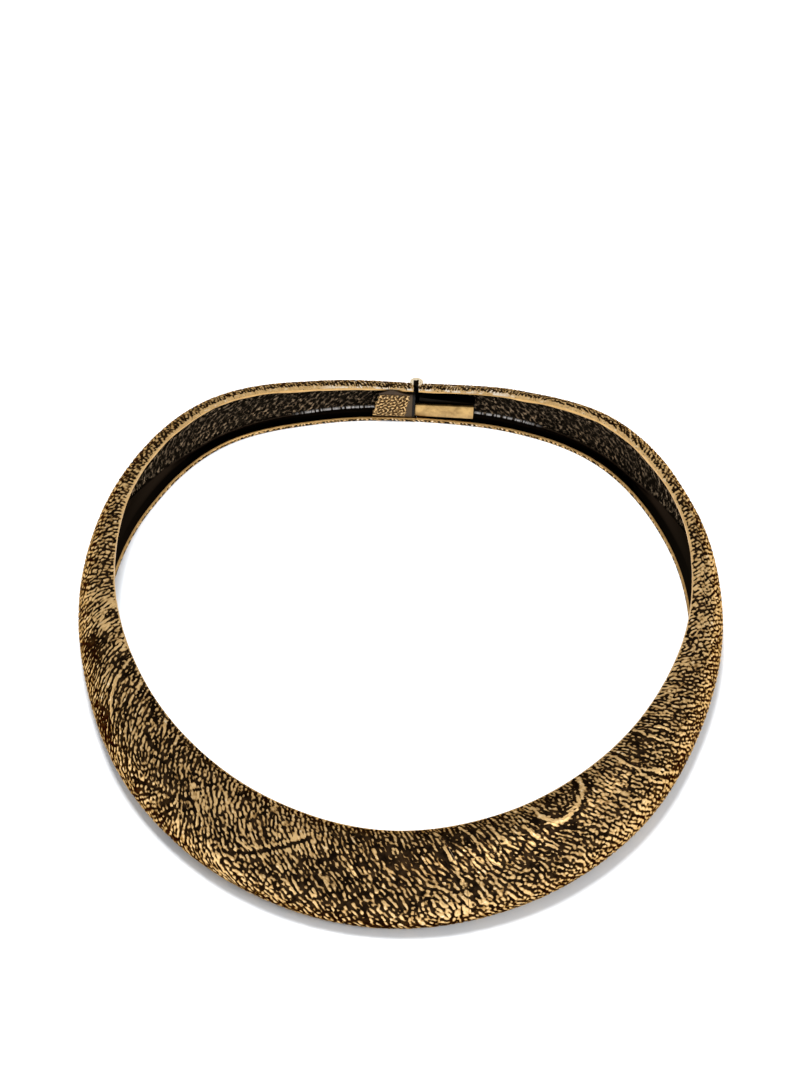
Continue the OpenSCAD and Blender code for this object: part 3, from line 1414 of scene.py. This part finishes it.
@dataclass(frozen=True)
class SmoothGold:
    """Satin antique gold of the rims, the plate and the pin.

    For the barrel's top, slit_shade_before is the Y in metres at which the painted shade of the dark slit
    ends and slit_shade_middle is the slit's X.
    """

    name: str = "smooth_gold"
    gold: Colour = (0.78, 0.52, 0.23)
    worn: Colour = (0.42, 0.25, 0.09)
    stain: Colour = (0.05, 0.03, 0.012)
    stain_share: float = 0.5
    mottle: float = 1.8
    roughness: float = 0.36
    scratch: float = 0.00006
    slit_shade_before: float | None = None
    slit_shade_middle: float = -0.5 * MM
    slit_shade_half: tuple[float, float] = (0.5 * MM, 0.7 * MM)
    slit_shade_soft: float = 0.1 * MM
    dark: Colour = (0.01, 0.006, 0.003)

    def material(self) -> Material:
        """Builds the finish.

        Returns:
            The material.
        """
        kit = NodeKit(self.name)
        tone = (kit.noise(0.0025, 4.0, 0.65) * self.mottle + 0.55).clamped()
        spots = kit.noise(0.0009, 3.0, 0.7).ramp(0.14, 0.28) * self.stain_share
        colour = kit.mix(spots, kit.mix(tone, self.worn, self.gold), self.stain)
        # Painted shade: the dark slit between the halves is painted onto the barrel's top.
        if self.slit_shade_before is not None:
            back = kit.axis("Y").ramp(self.slit_shade_before - self.slit_shade_soft, self.slit_shade_before + self.slit_shade_soft)
            aside = (kit.axis("X") - self.slit_shade_middle).math("ABSOLUTE").ramp(*self.slit_shade_half)
            colour = kit.mix(back.math("MAXIMUM", aside), self.dark, colour)
        return kit.finish(
            Base_Color=colour,
            Metallic=1.0,
            Roughness=self.roughness + kit.noise(0.0012, 3.0) * 0.25,
            Normal=kit.bump(kit.noise(0.0005, 4.0, 0.7), self.scratch, 0.7),
        )


@dataclass(frozen=True)
class Lining:
    """Dark hollow side: worm-like casting above, its ridges brown partly by their own colour and partly as
    painted highlights, with painted shade just under the top rim, and a glossy black fillet below with a
    line of painted glints.
    """

    black: Colour = (0.007, 0.005, 0.003)
    fillet: Colour = (0.03, 0.019, 0.012)
    brown: Colour = (0.4, 0.29, 0.185)
    warm_highlight: Colour = (0.6, 0.41, 0.24)
    painted_glint: Colour = (0.95, 0.92, 0.9)
    grazing: Colour = (0.3, 0.3, 0.3)
    fillet_side: tuple[float, float] = (0.12, 0.17)
    glints_side: tuple[float, float] = (0.185, 0.191)
    roughness: float = 0.3
    worm_size: float = 0.0007
    worm_depth: float = 0.0003
    ledge_depth: float = 0.0009

    def material(self) -> Material:
        """Builds the finish from the places stored on the mesh.

        Returns:
            The material.
        """
        kit = NodeKit("dark_lining")
        depth = kit.attribute("depth")
        along = kit.attribute("along")
        down = kit.attribute("down")
        web = 1 - depth.ramp(-0.02, 0.01)
        side = along.math("ABSOLUTE")
        slanted = kit.node("ShaderNodeCombineXYZ", {}, {0: (side - down) * 0.4, 1: (side + down) * 0.8})
        worm = kit.noise(self.worm_size, 2.5, 0.6, slanted).ramp(-0.02, 0.14) * web
        worm = worm * (kit.noise(0.0022, 2.0) * 3.0 + 0.65).clamped()
        # Painted shade: the worms' lighter brown fades out just under the top rim, where the rim shades
        # them; the brown on the ridges is partly their own colour and partly painted highlight.
        low = down.ramp(0.001, 0.006)
        ground = kit.mix((1 - web) * side.ramp(*self.fillet_side), self.black, self.fillet)
        colour = kit.mix(worm * (low * 0.8 + 0.2), ground, self.brown)
        # Painted highlights: warm lighter ridges in a band above the fillet.
        lit = depth.bump_at(-0.12, 0.22) * (kit.noise(0.008, 1.0) * 3.0 + 0.3).clamped()
        colour = kit.mix(worm * lit, colour, self.warm_highlight)
        # Painted highlights: a broken line of pale glints along the fillet's ledge at the back, which the
        # ledge's bump also tilts up to the light.
        line = kit.node("ShaderNodeCombineXYZ", {}, {0: along})
        dashes = kit.noise(0.0011, 2.0, 0.6, line).ramp(-0.06, 0.02) * side.ramp(*self.glints_side)
        glints = depth.bump_at(0.0, 0.045) * dashes
        ledge = kit.bump(depth.ramp(-0.02, 0.02), self.ledge_depth)
        return kit.finish(
            Base_Color=kit.mix(glints, colour, self.painted_glint),
            Metallic=1.0,
            Specular_Tint=self.grazing,
            Roughness=self.roughness + web * 0.15 + glints * 0.3,
            Normal=kit.bump(worm, self.worm_depth, 0.9, ledge),
        )


@dataclass(frozen=True)
class PlainMetal:
    """Plain metal with faint marks."""

    name: str
    colour: Colour
    dark: Colour
    roughness: float
    mark_depth: float = 0.00003

    def material(self) -> Material:
        """Builds the finish.

        Returns:
            The material.
        """
        kit = NodeKit(self.name)
        tone = (kit.noise(0.002, 3.0, 0.6) * 1.5 + 0.5).clamped()
        return kit.finish(
            Base_Color=kit.mix(tone, self.dark, self.colour),
            Metallic=1.0,
            Roughness=self.roughness + kit.noise(0.0008, 3.0) * 0.2,
            Normal=kit.bump(kit.noise(0.0004, 3.0, 0.6), self.mark_depth, 0.5),
        )


@dataclass(frozen=True)
class TablePaper:
    """The white floor, which glows a little so that only close shadows show."""

    colour: Colour = (0.75, 0.77, 0.8)
    roughness: float = 0.9
    glow: float = 0.02

    def material(self) -> Material:
        """Builds the finish.

        Returns:
            The material.
        """
        kit = NodeKit("white_floor")
        return kit.finish(
            Base_Color=self.colour,
            Roughness=self.roughness,
            Specular_IOR_Level=0.0,
            Emission_Color=(1.0, 1.0, 1.0),
            Emission_Strength=self.glow,
        )


# Fittings


@dataclass
class Fitting:
    """A fitting of the frame, copied, welded and given soft edges and a finish."""

    node: str
    body: Body
    slot: Slot
    finishes: tuple[Material, ...]
    bevel: float = 0.12 * MM
    segments: int = 2
    reshape: Callable[[Piece], None] | None = None
    choose: Callable[[Array], Array] | None = None
    bevel_over: float = 40.0
    smooth_under: float = 35.0
    weld_within: float = 0.001 * MM
    flat_under: float = 3.0

    def build(self, nodes: dict[str, Piece]) -> None:
        """Copies the node, finishes the copy and lets it ride on its body.

        Args:
            nodes: the frame's nodes by name.
        """
        piece = nodes[self.node].copy()
        piece.data = nodes[self.node].data.copy()
        for key in list(piece.keys()):
            del piece[key]
        piece.name = f"{self.node}_finished"
        piece.parent = None
        bpy.context.scene.collection.objects.link(piece)
        self.weld(piece)
        if self.reshape is not None:
            self.reshape(piece)
        apply_modifier(
            piece,
            "BEVEL",
            width=self.bevel,
            segments=self.segments,
            limit_method="ANGLE",
            angle_limit=math.radians(self.bevel_over),
            use_clamp_overlap=True,
        )
        smooth_below(piece, self.smooth_under)
        piece.data.materials.clear()
        for finish in self.finishes:
            piece.data.materials.append(finish)
        if self.choose is not None:
            middles = np.array([p.center[:] for p in piece.data.polygons])
            piece.data.polygons.foreach_set("material_index", self.choose(middles).astype(np.int32))
        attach(piece, self.body.value)
        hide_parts(self.node)
        log.info("%s: %d faces", piece.name, len(piece.data.polygons))

    def weld(self, piece: Piece) -> None:
        """Joins the loose triangles of a copied node and lets flat faces become one.

        Args:
            piece: the copy.
        """
        select_only(piece)
        bpy.ops.object.mode_set(mode="EDIT")
        bpy.ops.mesh.select_all(action="SELECT")
        bpy.ops.mesh.remove_doubles(threshold=self.weld_within)
        bpy.ops.mesh.dissolve_limited(angle_limit=math.radians(self.flat_under))
        bpy.ops.object.mode_set(mode="OBJECT")


@dataclass
class TexturedPad:
    """The slanted gold pad on the left block: small nuggets between two gold edges."""

    finish: Material
    cells: int = 88
    top: tuple[float, float] = (-8.5 * MM, -1.75 * MM)
    foot: tuple[float, float] = (-10.1 * MM, -2.85 * MM)
    height: tuple[float, float] = (2.0 * MM, 9.3 * MM)
    inset: float = 0.3 * MM
    slope: float = 0.35
    lean_back: float = 0.2 * MM
    relief: float = 0.2 * MM
    thickness: float = 0.5 * MM
    seed: int = 4
    waves: int = 60
    pitch: tuple[float, float] = (0.08, 0.16)
    side_share: float = 0.1
    side_rise: float = 1.1
    side_lift: float = 0.5
    end_share: float = 0.05
    smooth_under: float = 50.0

    def build(self) -> None:
        """Builds the pad at its node's place and lets it ride on the left half."""
        low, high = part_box("textured_pad")
        bpy.ops.object.select_all(action="DESELECT")
        bpy.ops.mesh.primitive_grid_add(x_subdivisions=self.cells, y_subdivisions=self.cells, size=1)
        piece = bpy.context.object
        piece.name = "textured_pad_cast"
        u, w = (points_of(piece)[:, :2] + 0.5).T
        from_side = np.minimum(np.minimum(u, 1 - u) / self.side_share, 1)
        from_end = np.minimum(np.minimum(w, 1 - w) / self.end_share, 1)
        raised = self.nuggets(u, w) + self.side_rise * (1 - from_side)
        left, right = (foot * (1 - w) + top * w for foot, top in zip(self.foot, self.top))
        x = left * (1 - u) + right * u
        z = self.height[0] * (1 - w) + self.height[1] * w
        slant = (high.y - low.y) / (high.x - low.x) * self.slope
        lift = self.relief * np.clip(raised, -1, 1) * np.minimum(from_side + self.side_lift, from_end)
        y = low.y + self.inset + (x - low.x) * slant + self.lean_back * w - lift
        set_points(piece, np.stack([x, y, z], 1))
        set_values(piece, "height", raised)
        self.give_back(piece)
        piece.data.materials.append(self.finish)
        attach(piece, Body.LEFT.value)
        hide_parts("textured_pad")
        log.info("%s: %d faces", piece.name, len(piece.data.polygons))

    def nuggets(self, u: Array, w: Array) -> Array:
        """Rounded grains over the pad from a few seeded waves, about 0 with a spread of one.

        Args:
            u: share of the way across.
            w: share of the way up.

        Returns:
            The height at each place.
        """
        rng = np.random.default_rng(self.seed)
        out = np.zeros_like(u)
        for _ in range(self.waves):
            turn, start = rng.uniform(0, 2 * math.pi, 2)
            pitch = rng.uniform(*self.pitch)
            out += np.cos(2 * math.pi * (u * math.cos(turn) + w * math.sin(turn)) / pitch + start)
        return out / out.std()

    def give_back(self, piece: Piece) -> None:
        """Closes the grid into a solid plate behind its face and makes its faces point out.

        Args:
            piece: the grid.
        """
        apply_modifier(piece, "SOLIDIFY", thickness=self.thickness, offset=-1.0)
        select_only(piece)
        bpy.ops.object.mode_set(mode="EDIT")
        bpy.ops.mesh.select_all(action="SELECT")
        bpy.ops.mesh.normals_make_consistent(inside=False)
        bpy.ops.object.mode_set(mode="OBJECT")
        smooth_below(piece, self.smooth_under)


def raise_block(piece: Piece) -> None:
    """Gives the left block's inner top edge a low rounded lump over the pad and widens the barrel's top.

    Args:
        piece: the copy of the block.
    """
    top, front = 8.9 * MM, 65.35 * MM
    edge_rise, lump_rise = 0.35 * MM, 1.35 * MM
    lump_x, lump_reach = -5.8 * MM, 2.3 * MM
    inside, outside, barrel_foot = 1.0 * MM, 1.3 * MM, 9.0 * MM
    wider, barrel_shift = 1.25, -0.4 * MM
    cuts = 12
    select_only(piece)
    chosen = [v.co.z > top and v.co.y < front for v in piece.data.vertices]
    piece.data.vertices.foreach_set("select", chosen)
    bpy.ops.object.mode_set(mode="EDIT")
    bpy.ops.mesh.select_mode(type="EDGE")
    bpy.ops.mesh.subdivide(number_cuts=cuts)
    bpy.ops.object.mode_set(mode="OBJECT")
    points = points_of(piece)
    x, y, z = points.T
    lump = edge_rise + lump_rise * np.exp(-(((x - lump_x) / lump_reach) ** 2))
    points[:, 2] += np.where((z > top) & (y < front), lump, 0)
    from_hinge = np.hypot(x, y - BandForm().hinge_y())
    barrel = (from_hinge > inside) & (from_hinge < outside) & (z > barrel_foot)
    points[:, 0] = np.where(barrel, x * wider + barrel_shift, x)
    set_points(piece, points)


def block_finishes(middles: Array) -> Array:
    """Chooses the left block's finishes: gold tops and backs of the knuckles, dark metal as painted shade by
    the slit, dull on top.

    Args:
        middles: rows of x, y, z of the faces' middles.

    Returns:
        The number of each face's finish: 0 grey, 1 gold, 2 dark and 3 dull.
    """
    knuckle, cap_foot, cap_back = 1.4 * MM, 9.3 * MM, 0.3 * MM
    slit_shade_from, dull_from = -0.9 * MM, 8.8 * MM
    x, y, z = middles.T
    behind = y - BandForm().hinge_y()
    near = np.hypot(x, behind) < knuckle
    gold = near & ((z > cap_foot) | (behind > cap_back))
    # Finish 2, near-black, on the knuckles' fronts and by the slit, is painted shade of the gap between the
    # halves.
    return np.select([gold, near | (x > slit_shade_from), z > dull_from], [1, 2, 3], 0)


def nearer_plate(piece: Piece) -> None:
    """Moves the blank plate up to the slit and gives it the outline that it shows.

    Args:
        piece: the copy of the plate.
    """
    tall, growth, foot, climb, shift = (k * MM for k in (4.1, 0.2, 1.3, 1.4, -1.05))
    points = points_of(piece)
    x, _, z = points.T
    share = (x - x.min()) / (x.max() - x.min())
    up = (z - z.min()) / (z.max() - z.min())
    points[:, 2] = foot + climb * share + up * (tall + growth * share)
    points[:, 0] += shift
    set_points(piece, points)


# Studio


@dataclass(frozen=True)
class Lamp:
    """A soft square lamp: its place from the point that it looks at, its side in metres and its watts."""

    name: str
    place: tuple[float, float, float]
    size: float
    power: float

    def hang(self, target: Vector) -> Piece:
        """Adds the lamp to the scene.

        Args:
            target: the point that it looks at.

        Returns:
            The lamp.
        """
        data = bpy.data.lights.new(self.name, "AREA")
        data.size = self.size
        data.energy = self.power
        lamp = bpy.data.objects.new(self.name, data)
        lamp.location = target + Vector(self.place)
        lamp.rotation_euler = (target - lamp.location).to_track_quat("-Z", "Y").to_euler()
        bpy.context.scene.collection.objects.link(lamp)
        return lamp


@dataclass(frozen=True)
class Studio:
    """White table, soft light and the camera, for a picture of 800 by 1067 pixels."""

    picture: tuple[int, int] = (800, 1067)
    elevation: float = 55.98
    turn: float = -1.48
    roll: float = 2.57
    distance: float = 0.7
    focal_px: float = 3153.0
    centre_px: tuple[float, float] = (400.9, 620.3)
    sensor: float = 36.0
    horizon: float = 0.6
    zenith: float = 0.85
    over_table: Lamp = Lamp("table", (-0.08, 0.09, 1.0), 0.22, 13.0)
    sparkle: Lamp = Lamp("sparkle", (0.5, -0.45, 0.75), 0.3, 2.4)
    clip: tuple[float, float] = (0.01, 10.0)
    floor_size: float = 6.0

    def camera(self, target: Vector) -> None:
        """Adds the camera at the photograph's angle.

        Args:
            target: the point that the measured angle is about.
        """
        e, p, r = (math.radians(a) for a in (self.elevation, self.turn, self.roll))
        right = Vector((math.cos(p), -math.sin(p), 0))
        up = Vector((math.sin(p) * math.sin(e), math.cos(p) * math.sin(e), math.cos(e)))
        back = Vector((-math.sin(p) * math.cos(e), -math.cos(p) * math.cos(e), math.sin(e)))
        rolled_right = right * math.cos(r) + up * math.sin(r)
        rolled_up = up * math.cos(r) - right * math.sin(r)
        data = bpy.data.cameras.new("camera")
        data.sensor_width = self.sensor
        data.lens = self.focal_px / max(self.picture) * self.sensor
        data.shift_x = (self.picture[0] / 2 - self.centre_px[0]) / max(self.picture)
        data.shift_y = (self.centre_px[1] - self.picture[1] / 2) / max(self.picture)
        data.clip_start, data.clip_end = self.clip
        camera = bpy.data.objects.new("camera", data)
        place = target + back * self.distance
        columns = [(*axis, 0) for axis in (rolled_right, rolled_up, back)] + [(*place, 1)]
        camera.matrix_world = Matrix(columns).transposed()
        bpy.context.scene.collection.objects.link(camera)
        bpy.context.scene.camera = camera

    def floor(self) -> None:
        """Adds the pale floor under the choker."""
        bpy.ops.object.select_all(action="DESELECT")
        bpy.ops.mesh.primitive_plane_add(size=self.floor_size, location=(0, 0, 0))
        floor = bpy.context.object
        floor.name = "floor"
        floor.data.materials.append(TablePaper().material())

    def lights(self, target: Vector) -> None:
        """Adds the room's own light, a lamp over the table and a small one for the sparkle.

        Args:
            target: the point that the lamps look at.
        """
        world = bpy.data.worlds.new("room")
        world.use_nodes = True
        nodes, links = world.node_tree.nodes, world.node_tree.links
        direction = nodes.new("ShaderNodeTexCoord")
        split = nodes.new("ShaderNodeSeparateXYZ")
        bright = nodes.new("ShaderNodeMapRange")
        bright.inputs["To Min"].default_value = self.horizon
        bright.inputs["To Max"].default_value = self.zenith
        links.new(direction.outputs["Generated"], split.inputs[0])
        links.new(split.outputs["Z"], bright.inputs["Value"])
        ground = nodes["Background"]
        ground.inputs["Color"].default_value = (1, 1, 1, 1)
        links.new(bright.outputs[0], ground.inputs["Strength"])
        bpy.context.scene.world = world
        self.over_table.hang(target).visible_glossy = False
        self.sparkle.hang(target)
        bpy.context.scene.view_settings.view_transform = "Standard"


def add_pieces(frame: dict[str, object]) -> None:
    """Builds every piece of the choker round the frame.
    """
    form = BandForm()
    face = CastFace(StrokeSheet())
    cast = CastGold(back_glints=1.0).material()
    edge = SmoothGold("gold_rim", (0.68, 0.42, 0.16), (0.36, 0.2, 0.065), stain_share=0.45).material()
    satin = SmoothGold().material()
    lining = Lining().material()
    # The knuckles' gold is painted dark, as shade of the slit, up to just behind the hinge's axis.
    slit_end = form.hinge_y() + 0.4 * MM
    cap = SmoothGold("knuckle_gold", (1.0, 0.86, 0.62), (0.95, 0.74, 0.48), slit_shade_before=slit_end).material()
    plate = SmoothGold(
        "plate_gold",
        (0.54, 0.34, 0.125),
        (0.22, 0.13, 0.045),
        stain_share=0.6,
        mottle=3.0,
    ).material()
    pad = CastGold(
        "pad_gold",
        gold=(0.68, 0.45, 0.21),
        deep_gold=(0.38, 0.24, 0.1),
        highlight_gold=(0.85, 0.64, 0.38),
        patina=(0.12, 0.07, 0.03),
        brown=(0.18, 0.11, 0.05),
        start=-1.3,
        edge=2.5,
    ).material()
    grey = PlainMetal("grey_metal", (0.08, 0.052, 0.027), (0.055, 0.035, 0.019), 0.35).material()
    dull = PlainMetal("dull_metal", (0.09, 0.06, 0.038), (0.045, 0.03, 0.02), 0.5).material()
    # dark_metal is near-black: partly the metal's own dark colour, partly painted shade of the slit and the
    # channel.
    dark = PlainMetal("dark_metal", (0.01, 0.008, 0.006), (0.003, 0.002, 0.001), 0.4).material()
    for side, body in ((Side.LEFT, Body.LEFT), (Side.RIGHT, Body.RIGHT)):
        piece = BandHalf(side, form, face, COLUMNS[side]).build()
        for finish in (cast, edge, lining):
            piece.data.materials.append(finish)
        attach(piece, body.value)
        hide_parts(f"{side.name.lower()}_shell")
    fittings = (
        Fitting(
            "left_hinge_block",
            Body.LEFT,
            Slot.GREY_METAL,
            (grey, cap, dark, dull),
            bevel=0.2 * MM,
            reshape=raise_block,
            choose=block_finishes,
        ),
        # The right block is near-black all over: partly its own dark metal, partly painted shade inside the
        # channel above the plate.
        Fitting("right_hinge_block", Body.RIGHT, Slot.DARK_METAL, (dark,)),
        Fitting("hinge_pin", Body.LEFT, Slot.SMOOTH_GOLD, (cap,), 0.15 * MM, 3),
        Fitting("blank_plate", Body.RIGHT, Slot.SMOOTH_GOLD, (plate,), 0.15 * MM, 3, nearer_plate),
        Fitting("catch_tongue", Body.LEFT, Slot.SMOOTH_GOLD, (satin,), 0.3 * MM, 3),
    )
    for fitting in fittings:
        fitting.build(frame["nodes"])
    TexturedPad(pad).build()


def main() -> None:
    """Loads the frame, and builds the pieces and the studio."""
    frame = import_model()
    add_pieces(frame)
    target = Vector((0, BandForm().centre_shift * MM, 0))
    studio = Studio()
    studio.floor()
    studio.lights(target)
    studio.camera(target)


if __name__ == "__main__":
    main()
